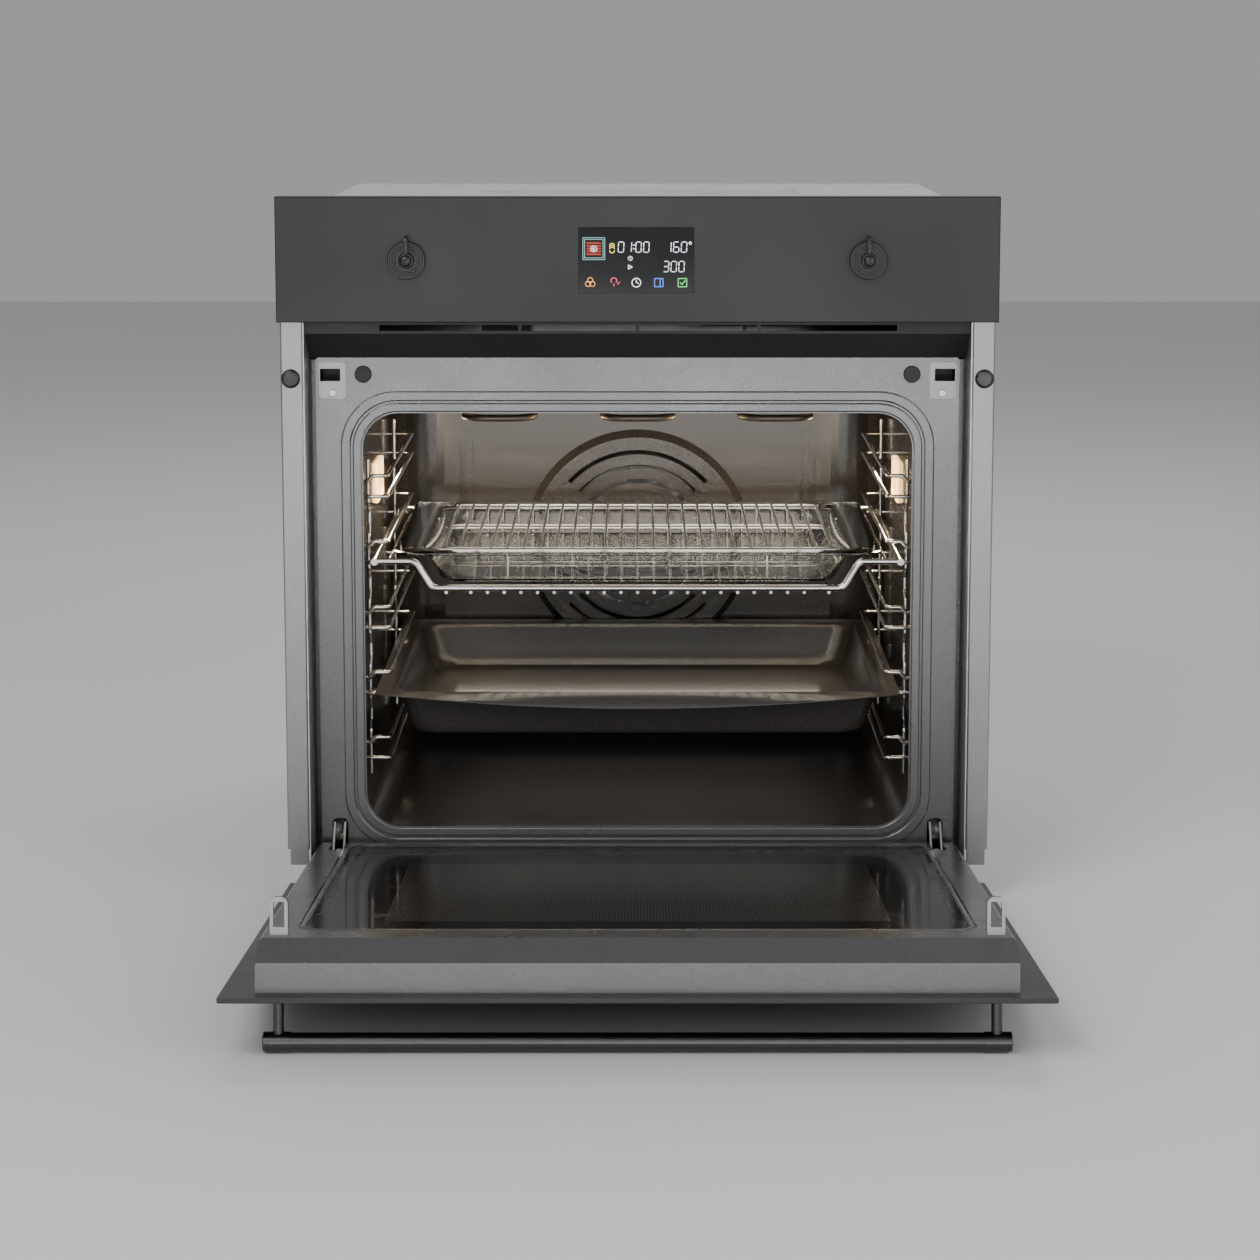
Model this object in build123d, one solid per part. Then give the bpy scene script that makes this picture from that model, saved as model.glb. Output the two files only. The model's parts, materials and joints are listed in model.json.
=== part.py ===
from build123d import *
import math
import os

# ---------------------------------------------------------------- driving dimensions, millimetres
# X runs to the right, Y to the back, Z up. The parts are drawn with Y measured from the front of
# the control panel, and written with the origin in the middle of the base's underside.
FRONT_HALF = 298.5          # half the width of the control panel and of the door
HEIGHT = 597.0
DEPTH = 548.0
SHEET = 1.2                 # casing sheet
CASING_HALF = 278.0         # goes into a 560 mm niche
CASING_TOP = 584.2
CHASSIS_FRONT = 44.8        # front face of the enamelled frame
FLANGE_Y = 22.0             # plane that rests on the face of the cabinet
ORIGIN_Y = 300.0            # the middle of the base, behind the front of the panel

PANEL_BOTTOM = 493.5
PANEL_DEPTH = 20.0
KNOB_X = 190.0
KNOB_Z = 545.0
DISPLAY_X = -1.0
DISPLAY_W, DISPLAY_H = 95.0, 54.0

DOOR_BOTTOM, DOOR_TOP = 18.0, 489.5
DOOR_PANEL = 4.0            # thickness of the outer door panel
DOOR_INNER = 40.5           # depth of the closed door's inner face
LINER_HALF = 273.0
LINER_BOTTOM, LINER_TOP = 24.0, 474.0
LINER_SHEET = 1.5
HINGE_Y, HINGE_Z = 29.0, 33.0
OPEN_ANGLE = 84.6
HINGE_X = 255.25
PIN_R = 3.0
RUNNING = 0.05              # radial clearance of a running fit

HANDLE_Z, HANDLE_Y = 452.0, -35.5
HANDLE_POST_X = 259.0
LATCH_X, LATCH_Z = 259.0, 444.0

OPENING_HALF = 232.0
OPENING_BOTTOM, OPENING_TOP, OPENING_R = 56.0, 413.0, 30.0
CAVITY_HALF = 236.0
CAVITY_BOTTOM, CAVITY_TOP = 52.0, 417.0
CAVITY_BACK = 452.0
BAFFLE_Y = 424.0
BAFFLE_HALF = 187.0
FAN_Z = 243.0

LEVELS = 5
LEVEL_Z, LEVEL_STEP = 108.5, 57.15
RAIL_PAIR = 18.0            # height between the two wires of a level
RAIL_X, RAIL_R = 214.0, 1.75
RAIL_FRONT, RAIL_BACK = 78.0, 372.0
RACK_LEVEL, TRAY_LEVEL = 3, 1

TRIM_INNER, TRIM_OUTER, TRIM_FRONT = 278.0, 296.5, 8.0
SCREW_X, SCREW_Z = 288.0, 446.0
DUCT_FLOOR = 461.4          # top of the floor of the electronics compartment


# ---------------------------------------------------------------- shape helpers
def block(x0, x1, y0, y1, z0, z1):
    size = Box(abs(x1 - x0), abs(y1 - y0), abs(z1 - z0))
    return Pos((x0 + x1) / 2, (y0 + y1) / 2, (z0 + z1) / 2) * size


def rod(start, end, radius):
    direction = Vector(*end) - Vector(*start)
    plane = Plane(origin=start, z_dir=direction)
    return plane * Cylinder(radius, direction.length, align=(Align.CENTER, Align.CENTER, Align.MIN))


def disc(x, y0, y1, z, radius):
    return rod((x, y0, z), (x, y1, z), radius)


def bent_wire(points, radius, bend):
    path = FilletPolyline(*points, radius=bend)
    profile = Plane(origin=path @ 0, z_dir=path % 0) * Circle(radius)
    return sweep(profile, path)


def front_plane(y):
    """A sketch plane facing the user: its x is X and its y is Z."""
    return Plane(origin=(0, y, 0), x_dir=(1, 0, 0), z_dir=(0, -1, 0))


def rounded_plate(x0, x1, z0, z1, corner, y0, y1):
    sketch = Pos((x0 + x1) / 2, (z0 + z1) / 2) * RectangleRounded(x1 - x0, z1 - z0, corner)
    return extrude(front_plane(y1) * sketch, y1 - y0)


def side_profile(points, x0, x1):
    """A solid whose outline is drawn in Y and Z and that runs from x0 to x1."""
    plane = Plane(origin=(x0, 0, 0), x_dir=(0, 1, 0), z_dir=(1, 0, 0))
    return extrude(plane * make_face(Polyline(*points, close=True)), x1 - x0)


def other_side(shape):
    return mirror(shape, about=Plane.YZ)


def both_sides(shape):
    return [shape, other_side(shape)]


def join(pieces):
    whole = pieces[0]
    for piece in pieces[1:]:
        whole = whole + piece
    return whole


def opened(shape):
    """Turns a piece that is drawn on the closed door to the open stop."""
    return shape.rotate(Axis((0, HINGE_Y, HINGE_Z), (1, 0, 0)), OPEN_ANGLE)


# ---------------------------------------------------------------- casing
def base_plate():
    plate = block(-CASING_HALF, CASING_HALF, CHASSIS_FRONT, DEPTH, 0, SHEET)
    for row in range(5):
        y = 160 + row * 60
        plate -= block(-90, 90, y, y + 6, -1, SHEET + 1)
    return plate


def casing_side():
    back = DEPTH - SHEET
    outline = [
        (CHASSIS_FRONT, SHEET), (back, SHEET), (back, CASING_TOP - SHEET),
        (PANEL_DEPTH, CASING_TOP - SHEET), (PANEL_DEPTH, PANEL_BOTTOM - 0.1),
        (10, PANEL_BOTTOM - 0.1), (10, 30), (CHASSIS_FRONT, 30),
    ]
    return side_profile(outline, CASING_HALF - 1, CASING_HALF)


def casing_top():
    lid = block(-CASING_HALF, CASING_HALF, PANEL_DEPTH, DEPTH, CASING_TOP - SHEET, CASING_TOP)
    for row in range(6):
        y = 330 + row * 16
        lid -= block(-150, 150, y, y + 6, CASING_TOP - 3, CASING_TOP + 1)
    return lid


def rear_cover():
    cover = block(-CASING_HALF, CASING_HALF, DEPTH - SHEET, DEPTH, SHEET, CASING_TOP - SHEET)
    for column in range(-7, 8):
        x = column * 24
        cover -= block(x - 3, x + 3, DEPTH - 3, DEPTH + 1, 480, 560)
    for column in range(-4, 5):
        x = column * 18
        cover -= block(x - 2.5, x + 2.5, DEPTH - 3, DEPTH + 1, 190, 296)
    cover -= disc(-205, DEPTH - 3, DEPTH + 1, 545, 9.0)
    return cover


def insulation():
    cavity_outer = CAVITY_HALF + SHEET
    thick = 24.0
    side = block(cavity_outer, cavity_outer + thick, 90, 400, 90, 380)
    side -= block(cavity_outer - 1, cavity_outer + thick + 1, 205, 275, 305, 355)
    top = block(-190, 190, 90, 400, CAVITY_TOP + SHEET, CAVITY_TOP + SHEET + thick)
    bottom = block(-190, 190, 90, 400, CAVITY_BOTTOM - SHEET - thick, CAVITY_BOTTOM - SHEET)
    return Compound(children=both_sides(side) + [top, bottom])


# ---------------------------------------------------------------- front
def bead(inner_offset, outer_offset, proud):
    """One raised rib of the frame round the oven opening."""
    def outline(offset):
        return (-OPENING_HALF - offset, OPENING_HALF + offset,
                OPENING_BOTTOM - offset, OPENING_TOP + offset, OPENING_R + offset * 0.9)
    front, back = CHASSIS_FRONT - proud, CHASSIS_FRONT + 0.4
    ring = rounded_plate(*outline(outer_offset), front, back)
    ring -= rounded_plate(*outline(inner_offset), front - 1, back + 1)
    rim = ring.edges().filter_by_position(Axis.Y, front - 0.01, front + 0.01)
    return fillet(rim, proud * 0.85)


def front_frame():
    half, top, back = 271.0, 460.0, CHASSIS_FRONT + SHEET
    frame = rounded_plate(-half, half, SHEET, top, 3, CHASSIS_FRONT, back)
    frame += bead(1.0, 8.6, 1.6)
    frame += bead(10.2, 18.6, 1.6)
    frame -= rounded_plate(-OPENING_HALF, OPENING_HALF, OPENING_BOTTOM, OPENING_TOP, OPENING_R,
                           CHASSIS_FRONT - 3, back + 1)
    lip = block(half - SHEET, half, back, 70, 6, top - 4)
    lip += block(half - SHEET, CASING_HALF - 1, 70, 70 + SHEET, 6, top - 4)
    for shape in both_sides(lip):
        frame += shape
    for side in (1, -1):
        frame -= rounded_plate(*sorted((side * 246, side * 268.6)), 425, 456, 3,
                               CHASSIS_FRONT - 3, back + 1)
        frame -= rounded_plate(*sorted((side * 248.6, side * 262)), 16, 63, 5,
                               CHASSIS_FRONT - 3, back + 1)
    return frame


def latch_plate():
    back = CHASSIS_FRONT + SHEET
    plate = block(245, 269.6, back, back + SHEET, 423, 458)
    plate -= block(250.5, 267.5, back - 1, back + 3, 440, 450.5)
    plate -= disc(257, back - 1, back + 3, 430, 1.5)
    return plate


def latch_screw():
    back = CHASSIS_FRONT + SHEET
    screw = disc(257, back - 1.6, back, 430, 3.2)
    screw = fillet(screw.edges().filter_by_position(Axis.Y, back - 1.7, back - 1.5), 0.6)
    screw += disc(257, back, back + 6, 430, 1.45)
    screw -= block(256.6, 257.4, back - 2, back - 1.0, 427.5, 432.5)
    return screw


def door_bumper():
    pad = disc(231, CHASSIS_FRONT - 2.6, CHASSIS_FRONT, 446, 7.2)
    return fillet(pad.edges().filter_by_position(Axis.Y, CHASSIS_FRONT - 2.7, CHASSIS_FRONT - 2.5), 1.2)


def side_trim():
    wall = 1.2
    tube = block(TRIM_INNER, TRIM_OUTER, TRIM_FRONT, FLANGE_Y, 45, PANEL_BOTTOM - 0.1)
    tube += block(TRIM_INNER + 2, TRIM_OUTER - 2, TRIM_FRONT + 2, FLANGE_Y, 31, 45)
    long_edges = tube.edges().filter_by(Axis.Z).filter_by_position(Axis.Y, TRIM_FRONT - 0.1, TRIM_FRONT + 0.1)
    tube = fillet(long_edges, 1.5)
    tube -= block(TRIM_INNER + 2 * wall, TRIM_OUTER - 2 * wall, TRIM_FRONT + 2 * wall, FLANGE_Y - wall,
                  33, PANEL_BOTTOM - 4)
    tube -= disc(SCREW_X, TRIM_FRONT - 1, 16, SCREW_Z, 4.5)
    tube -= disc(SCREW_X, 16, FLANGE_Y + 1, SCREW_Z, 3.3)
    return tube


def cabinet_screw():
    head = disc(SCREW_X, FLANGE_Y - 1.2 - 2.4, FLANGE_Y - 1.2, SCREW_Z, 4.0)
    return head + disc(SCREW_X, FLANGE_Y - 1.2, FLANGE_Y + 16, SCREW_Z, 2.0)


def screw_cap():
    cap = disc(SCREW_X, TRIM_FRONT - 3.2, TRIM_FRONT, SCREW_Z, 8.0)
    front = cap.edges().filter_by_position(Axis.Y, TRIM_FRONT - 3.3, TRIM_FRONT - 3.1)
    return fillet(front, 2.8) + disc(SCREW_X, TRIM_FRONT, TRIM_FRONT + 5, SCREW_Z, 4.4)


def vent_grille():
    half = CASING_HALF - 1
    grille = block(-half, half, PANEL_DEPTH, PANEL_DEPTH + SHEET, 482.5, PANEL_BOTTOM - 0.1)
    slots = [(-215, -99.5), (-96.5, -1.5), (1.5, 99.5), (102.5, 216)]
    for x0, x1 in slots:
        grille -= block(x0, x1, PANEL_DEPTH - 1, PANEL_DEPTH + 3, 484.7, 489.8)
    return grille


def air_deflector():
    half = CASING_HALF - 1
    front, back = PANEL_DEPTH, CHASSIS_FRONT + SHEET
    outline = [(front, 482.5), (front + 1.4, 482.5), (back, 461.6), (back, 460.0), (back - 1.4, 460.0)]
    return side_profile(outline, -half, half)


def duct_floor():
    half = CASING_HALF - 1
    return block(-half, half, CHASSIS_FRONT + SHEET, DEPTH - SHEET, DUCT_FLOOR - SHEET, DUCT_FLOOR)


# ---------------------------------------------------------------- control panel
def control_panel():
    panel = block(-FRONT_HALF, FRONT_HALF, 0, PANEL_DEPTH, PANEL_BOTTOM, HEIGHT)
    rim = panel.edges().filter_by_position(Axis.Y, -0.01, 0.01)
    panel = chamfer(rim, 0.8)
    panel -= block(-FRONT_HALF + 3, FRONT_HALF - 3, 3, PANEL_DEPTH + 1, PANEL_BOTTOM + 2.4, HEIGHT - 2.4)
    half_w, half_h = DISPLAY_W / 2 + 0.2, DISPLAY_H / 2 + 0.2
    panel -= block(DISPLAY_X - half_w, DISPLAY_X + half_w, -1, 4, KNOB_Z - half_h, KNOB_Z + half_h)
    for side in (1, -1):
        panel -= disc(side * KNOB_X, -1, 4, KNOB_Z, 4.0)
    return panel


def panel_bracket():
    plate = block(-FRONT_HALF + 3, FRONT_HALF - 3, PANEL_DEPTH - SHEET, PANEL_DEPTH,
                  PANEL_BOTTOM + 2.4, HEIGHT - 2.4)
    plate -= block(-70, 70, PANEL_DEPTH - 3, PANEL_DEPTH + 1, 515, 575)
    return plate


def display_window():
    half_w, half_h = DISPLAY_W / 2, DISPLAY_H / 2
    return block(DISPLAY_X - half_w, DISPLAY_X + half_w, 0.2, 3, KNOB_Z - half_h, KNOB_Z + half_h)


def display_module():
    return block(DISPLAY_X - 44, DISPLAY_X + 44, 3, 11, KNOB_Z - 24, KNOB_Z + 24)


def control_board():
    board = block(-62, 62, 11, 12.6, 508, 582)
    for x, z in ((-52, 514), (52, 514), (-52, 576), (52, 576)):
        board += disc(x, 12.6, PANEL_DEPTH - SHEET, z, 3.0)
    for column in range(-2, 3):
        board += block(column * 20 - 4, column * 20 + 4, 12.6, 15.4, 530, 538)
    return board


def encoder(side):
    x = side * KNOB_X
    body = block(x - 9, x + 9, 7, PANEL_DEPTH - SHEET, KNOB_Z - 9, KNOB_Z + 9)
    body += disc(x, 4, 7, KNOB_Z, 6.0)
    return body - disc(x, 3, 15.2, KNOB_Z, PIN_R + RUNNING)


def knob(side):
    x = side * KNOB_X
    body = disc(x, -6.5, -0.6, KNOB_Z, 15.5)
    body = fillet(body.edges().filter_by_position(Axis.Y, -6.6, -6.4), 0.9)
    hub = disc(x, -16, -6.5, KNOB_Z, 6.6)
    body += fillet(hub.edges().filter_by_position(Axis.Y, -16.1, -15.9), 1.6)
    lever = block(x - 1.75, x + 1.75, -13.5, -3.5, KNOB_Z + 4, KNOB_Z + 20)
    body += fillet(lever.edges().filter_by_position(Axis.Z, KNOB_Z + 19.9, KNOB_Z + 20.1), 1.2)
    body -= disc(x, -17, -15.2, KNOB_Z, 1.2)
    return body + disc(x, -0.6, 15, KNOB_Z, PIN_R)


# ---------------------------------------------------------------- oven cavity
def cavity_form(grow):
    """The inner form of the cavity, grown by the sheet thickness for its outside."""
    form = block(-CAVITY_HALF - grow, CAVITY_HALF + grow, CHASSIS_FRONT + SHEET, CAVITY_BACK + grow,
                 CAVITY_BOTTOM - grow, CAVITY_TOP + grow)
    back = form.edges().filter_by(Axis.Z).filter_by_position(Axis.Y, CAVITY_BACK + grow - 1, CAVITY_BACK + 9)
    form = fillet(back, 40 + grow)
    return fillet(form.edges().filter_by(Axis.Y), 26 + grow)


def cavity():
    shell = cavity_form(SHEET) - cavity_form(0)
    shell -= disc(0, CAVITY_BACK - 2, CAVITY_BACK + 4, FAN_Z, 4.0 + RUNNING)
    return shell


def arc_slot(radius, width, middle, sweep_angle, y0, y1):
    """A slot of even width along an arc round the fan axis, seen from the front."""
    ring = disc(0, y0, y1, FAN_Z, radius + width / 2) - disc(0, y0 - 1, y1 + 1, FAN_Z, radius - width / 2)
    reach = 200.0
    start, stop = (math.radians(middle + turn * sweep_angle / 2) for turn in (-1, 1))
    corner = math.radians(middle)
    wedge = Polyline((0, 0), (reach * math.cos(start), reach * math.sin(start)),
                     (1.6 * reach * math.cos(corner), 1.6 * reach * math.sin(corner)),
                     (reach * math.cos(stop), reach * math.sin(stop)), close=True)
    sector = extrude(Plane(origin=(0, y1 + 2, FAN_Z), x_dir=(1, 0, 0), z_dir=(0, -1, 0)) * make_face(wedge),
                     y1 - y0 + 4)
    return ring & sector


def baffle_rib(x, z0, z1):
    return rounded_plate(x - 3.2, x + 3.2, z0, z1, 3, BAFFLE_Y - 3, BAFFLE_Y + 0.4)


def rear_baffle():
    dome_r, dome_y = 110.0, BAFFLE_Y - 9
    bottom, top = CAVITY_BOTTOM + 27, CAVITY_TOP - 27
    pan = rounded_plate(-BAFFLE_HALF, BAFFLE_HALF, bottom, top, 14, BAFFLE_Y, CAVITY_BACK)
    pan -= rounded_plate(-BAFFLE_HALF + SHEET, BAFFLE_HALF - SHEET, bottom + SHEET, top - SHEET, 13,
                         BAFFLE_Y + SHEET, CAVITY_BACK + 1)
    cone_axis = Plane(origin=(0, BAFFLE_Y + 0.4, FAN_Z), z_dir=(0, -1, 0))
    rise = BAFFLE_Y + 0.4 - dome_y
    grounded = (Align.CENTER, Align.CENTER, Align.MIN)
    pan += cone_axis * Cone(dome_r, dome_r - 7, rise, align=grounded)
    inner = Plane(origin=(0, BAFFLE_Y + SHEET + 0.4, FAN_Z), z_dir=(0, -1, 0))
    pan -= inner * Cone(dome_r - 1.6, dome_r - 8.6, rise, align=grounded)
    for radius in (96, 81.5, 67.5, 54, 41):
        ridge = disc(0, dome_y - 1.8, dome_y + 0.4, FAN_Z, radius + 2.2)
        ridge -= disc(0, dome_y - 3, dome_y + 2, FAN_Z, radius - 2.2)
        pan += ridge
    for radius in (88.7, 74.5, 60.7):
        for middle in (90, 270):
            pan -= arc_slot(radius, 4.2, middle, 96, dome_y - 4, dome_y + 6)
        for middle in (0, 180):
            pan -= arc_slot(radius, 4.2, middle, 52, dome_y - 4, dome_y + 6)
    for hole in range(8):
        turn = math.radians(hole * 45)
        pan -= disc(22 * math.cos(turn), dome_y - 4, dome_y + 6, FAN_Z + 22 * math.sin(turn), 3.4)
    for side in (1, -1):
        pan += baffle_rib(side * 163, 120, 352)
        pan += baffle_rib(side * 175, 120, 338)
    return pan


def ring_heater():
    radius, y = 94.0, 438.0
    ring = Plane(origin=(0, y, FAN_Z), z_dir=(0, 1, 0)) * Torus(radius, 3.2)
    ring += disc(-8, y, CAVITY_BACK, FAN_Z + radius, 3.2)
    return ring + disc(8, y, CAVITY_BACK, FAN_Z + radius, 3.2)


def grill_heater():
    z, front, back = 401.0, 110.0, 405.0
    points = [(-150, back, z), (-150, front, z), (-90, front, z), (-90, 350, z), (-30, 350, z),
              (-30, front, z), (30, front, z), (30, 350, z), (90, 350, z), (90, front, z),
              (150, front, z), (150, back, z)]
    tube = bent_wire(points, 3.2, 20)
    for x in (-60, 60):
        tube += rod((x, 350, z), (x, 350, CAVITY_TOP), 2.0)
    return tube


def lamp_lens():
    lens = block(CAVITY_HALF - 3, CAVITY_HALF, 212, 268, 312, 348)
    edges = lens.edges().filter_by_position(Axis.X, CAVITY_HALF - 3.01, CAVITY_HALF - 2.99)
    return fillet(edges, 1.8)


def lamp_housing():
    outer = CAVITY_HALF + SHEET
    return block(outer, outer + 26, 210, 270, 310, 350) - block(outer + 2, outer + 24, 212, 268, 312, 348)


def side_rack():
    wall = CAVITY_HALF
    pieces = []
    for level in range(LEVELS):
        low = LEVEL_Z + level * LEVEL_STEP
        high = low + RAIL_PAIR
        pieces.append(bent_wire([(wall, RAIL_FRONT, low), (RAIL_X, RAIL_FRONT, low),
                                 (RAIL_X, RAIL_BACK, low), (wall, RAIL_BACK, low)], RAIL_R, 5))
        pieces.append(bent_wire([(wall, RAIL_FRONT, high - 5), (231.5, RAIL_FRONT, high - 5),
                                 (226.5, RAIL_FRONT, high), (RAIL_X, RAIL_FRONT, high),
                                 (RAIL_X, RAIL_BACK, high), (wall, RAIL_BACK, high)],
                                RAIL_R, [2, 2, 5, 5]))
    top = LEVEL_Z + (LEVELS - 1) * LEVEL_STEP + RAIL_PAIR + 14
    for y, lean in ((RAIL_FRONT + 3.1, 8), (RAIL_BACK - 3.1, -8)):
        points = [(231.2, y, LEVEL_Z - 14)]
        for level in range(LEVELS - 1):
            start = LEVEL_Z + level * LEVEL_STEP + RAIL_PAIR + 6
            stop = start + LEVEL_STEP - RAIL_PAIR - 12
            points += [(231.2, y, start), (231.2, y + lean, start + 8),
                       (231.2, y + lean, stop - 8), (231.2, y, stop)]
        points.append((231.2, y, top))
        pieces.append(bent_wire(points, RAIL_R, 3))
    return join(pieces)


# ---------------------------------------------------------------- fan, cooling and power parts
def fan_blades(radius, y0, y1, blades):
    pieces = [disc(0, y1 - 1.2, y1, FAN_Z, radius)]
    for blade in range(blades):
        vane = block(radius * 0.52, radius, y0, y1, FAN_Z - 0.6, FAN_Z + 0.6)
        vane = vane.rotate(Axis((radius * 0.75, 0, FAN_Z), (0, 1, 0)), 28)
        pieces.append(vane.rotate(Axis((0, 0, FAN_Z), (0, 1, 0)), blade * 360 / blades))
    return pieces


def convection_fan():
    pieces = fan_blades(72.0, 430.0, 446.0, 14)
    pieces.append(disc(0, 432, 446, FAN_Z, 11))
    pieces.append(disc(0, 446, 490, FAN_Z, 4.0))
    return join(pieces)


def fan_motor():
    back = CAVITY_BACK + SHEET
    motor = disc(0, back + 6, back + 56, FAN_Z, 34)
    for side in (1, -1):
        motor += block(side * 48 - 7, side * 48 + 7, back, back + 8, FAN_Z - 8, FAN_Z + 8)
    motor += block(-55, 55, back + 6, back + 9, FAN_Z - 12, FAN_Z + 12)
    return motor - disc(0, back - 1, 490.6, FAN_Z, 4.0 + RUNNING)


BLOWER_Y, BLOWER_Z, BLOWER_R = 240.0, 524.0, 30.0


def blower_wheel():
    axis = (BLOWER_Y, BLOWER_Z)
    pieces = [rod((x, *axis), (x + 2, *axis), BLOWER_R) for x in (-90, 88)]
    pieces.append(rod((-90, *axis), (-112, *axis), PIN_R))
    pieces.append(rod((90, *axis), (96, *axis), PIN_R))
    for blade in range(20):
        vane = block(-89, 89, BLOWER_Y - 0.6, BLOWER_Y + 0.6, BLOWER_Z + BLOWER_R - 9, BLOWER_Z + BLOWER_R - 1)
        pieces.append(vane.rotate(Axis((0, *axis), (1, 0, 0)), blade * 18))
    return join(pieces)


def blower_housing():
    reach = BLOWER_R + 7
    axis = (BLOWER_Y, BLOWER_Z)
    shell = rod((-97, *axis), (97, *axis), reach) - rod((-95, *axis), (95, *axis), reach - 1.5)
    shell -= block(-95, 95, BLOWER_Y - 50, BLOWER_Y - 8, BLOWER_Z - 50, BLOWER_Z + 4)
    shell -= block(-95, 95, BLOWER_Y, BLOWER_Y + 50, BLOWER_Z, BLOWER_Z + 50)
    for x in (-97, 95):
        foot = block(x, x + 2, BLOWER_Y - 24, BLOWER_Y + 24, DUCT_FLOOR, BLOWER_Z - 10)
        shell += foot
        shell -= rod((x - 1, *axis), (x + 3, *axis), PIN_R + RUNNING)
    return shell


def blower_motor():
    axis = (BLOWER_Y, BLOWER_Z)
    motor = block(-140, -97, BLOWER_Y - 30, BLOWER_Y + 30, BLOWER_Z - 28, BLOWER_Z + 28)
    motor += block(-140, -97, BLOWER_Y - 18, BLOWER_Y + 18, DUCT_FLOOR, BLOWER_Z)
    return motor - rod((-113, *axis), (-96, *axis), PIN_R + RUNNING)


def magnetron():
    body = block(150, 230, 330, 420, DUCT_FLOOR + 22, DUCT_FLOOR + 96)
    for fin in range(6):
        z = DUCT_FLOOR + 34 + fin * 9
        body -= block(158, 222, 329, 421, z, z + 6)
    body += disc_up(190, 375, DUCT_FLOOR + 14, DUCT_FLOOR + 22, 16)
    return body


def disc_up(x, y, z0, z1, radius):
    return rod((x, y, z0), (x, y, z1), radius)


def waveguide():
    guide = block(60, 235, 335, 415, DUCT_FLOOR, DUCT_FLOOR + 14)
    return guide - block(62, 233, 337, 413, DUCT_FLOOR + 1.5, DUCT_FLOOR + 12.5)


def inverter_board():
    board = block(30, 140, 430, 530, DUCT_FLOOR + 8, DUCT_FLOOR + 9.6)
    for x, y in ((36, 436), (134, 436), (36, 524), (134, 524)):
        board += disc_up(x, y, DUCT_FLOOR, DUCT_FLOOR + 8.4, 3)
    board += block(44, 84, 440, 520, DUCT_FLOOR + 9.6, DUCT_FLOOR + 44)
    board += disc_up(112, 460, DUCT_FLOOR + 9.6, DUCT_FLOOR + 42, 14)
    return board + disc_up(112, 500, DUCT_FLOOR + 9.6, DUCT_FLOOR + 34, 10)


def power_board():
    board = block(-240, -150, 340, 500, DUCT_FLOOR + 8, DUCT_FLOOR + 9.6)
    for x, y in ((-234, 346), (-156, 346), (-234, 494), (-156, 494)):
        board += disc_up(x, y, DUCT_FLOOR, DUCT_FLOOR + 8.4, 3)
    for relay in range(5):
        y = 362 + relay * 26
        board += block(-230, -206, y, y + 16, DUCT_FLOOR + 9.6, DUCT_FLOOR + 26)
    return board + block(-196, -166, 380, 430, DUCT_FLOOR + 9.6, DUCT_FLOOR + 40)


def door_switch():
    return block(246, 268, 74, 96, 434, 458)


def terminal_block():
    base = block(-245, -165, 512, 532, 520, 556)
    base += block(-245, -240, 532, DEPTH - SHEET, 520, 556)
    base += block(-170, -165, 532, DEPTH - SHEET, 520, 556)
    for post in range(4):
        base -= disc(-232 + post * 18, 511, 520, 548, 4)
    return base


def cable_gland():
    gland = disc(-205, DEPTH, DEPTH + 12, 545, 12) + disc(-205, 534, DEPTH, 545, 8.9)
    return gland - disc(-205, 530, DEPTH + 13, 545, 5.0)


# ---------------------------------------------------------------- hinges
def hinge_plate(x0, x1):
    """One cheek of the hinge arm, from the pin back into the frame."""
    outline = [(HINGE_Y - 1, HINGE_Z - 6.9), (46, 21), (64, 21), (64, 58), (48, 62), (44, 60),
               (HINGE_Y - 3, HINGE_Z + 6.3)]
    cheek = side_profile(outline, x0, x1)
    cheek += rod((x0, HINGE_Y, HINGE_Z), (x1, HINGE_Y, HINGE_Z), 7.0)
    return cheek - rod((x0 - 1, HINGE_Y, HINGE_Z), (x1 + 1, HINGE_Y, HINGE_Z), PIN_R)


def hinge_arm():
    arm = hinge_plate(250.0, 251.6) + hinge_plate(258.9, 260.5)
    arm += block(250.0, 260.5, 62, 64, 21, 58)
    arm += block(250.0, 264.0, 64, 66, 21, 58)
    return arm + block(262.0, 269.8, 62, 66, 21, 58)


def hinge_housing():
    return block(249, 264, 66, 190, 14, 44) - block(251, 262, 68, 188, 16, 42)


def hinge_spring():
    return rod((256.5, 68, 29), (256.5, 188, 29), 5.2) - rod((256.5, 67, 29), (256.5, 189, 29), 3.4)


def hinge_pin():
    return rod((248.5, HINGE_Y, HINGE_Z), (260.5, HINGE_Y, HINGE_Z), PIN_R)


def hinge_lug():
    """The blade on the door that turns on the pin between the two cheeks."""
    x0, x1 = HINGE_X - 2.0, HINGE_X + 2.0
    outline = [(HINGE_Y - 6.6, HINGE_Z + 1), (DOOR_PANEL, 46), (DOOR_PANEL, 92), (30, 92), (33, 60),
               (HINGE_Y + 6.6, HINGE_Z + 1)]
    lug = side_profile(outline, x0, x1) + rod((x0, HINGE_Y, HINGE_Z), (x1, HINGE_Y, HINGE_Z), 6.8)
    return lug - rod((x0 - 1, HINGE_Y, HINGE_Z), (x1 + 1, HINGE_Y, HINGE_Z), PIN_R + RUNNING)


# ---------------------------------------------------------------- door, drawn closed
GLASS_HALF = 248.5
GLASS_BOTTOM, GLASS_TOP = 46.0, 421.0


def door_panel():
    panel = block(-FRONT_HALF, FRONT_HALF, 0, DOOR_PANEL, DOOR_BOTTOM, DOOR_TOP)
    panel = chamfer(panel.edges().filter_by_position(Axis.Y, -0.01, 0.01), 0.8)
    for side in (1, -1):
        panel -= disc(side * HANDLE_POST_X, -1, 5, HANDLE_Z, 2.6)
    return panel


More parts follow.
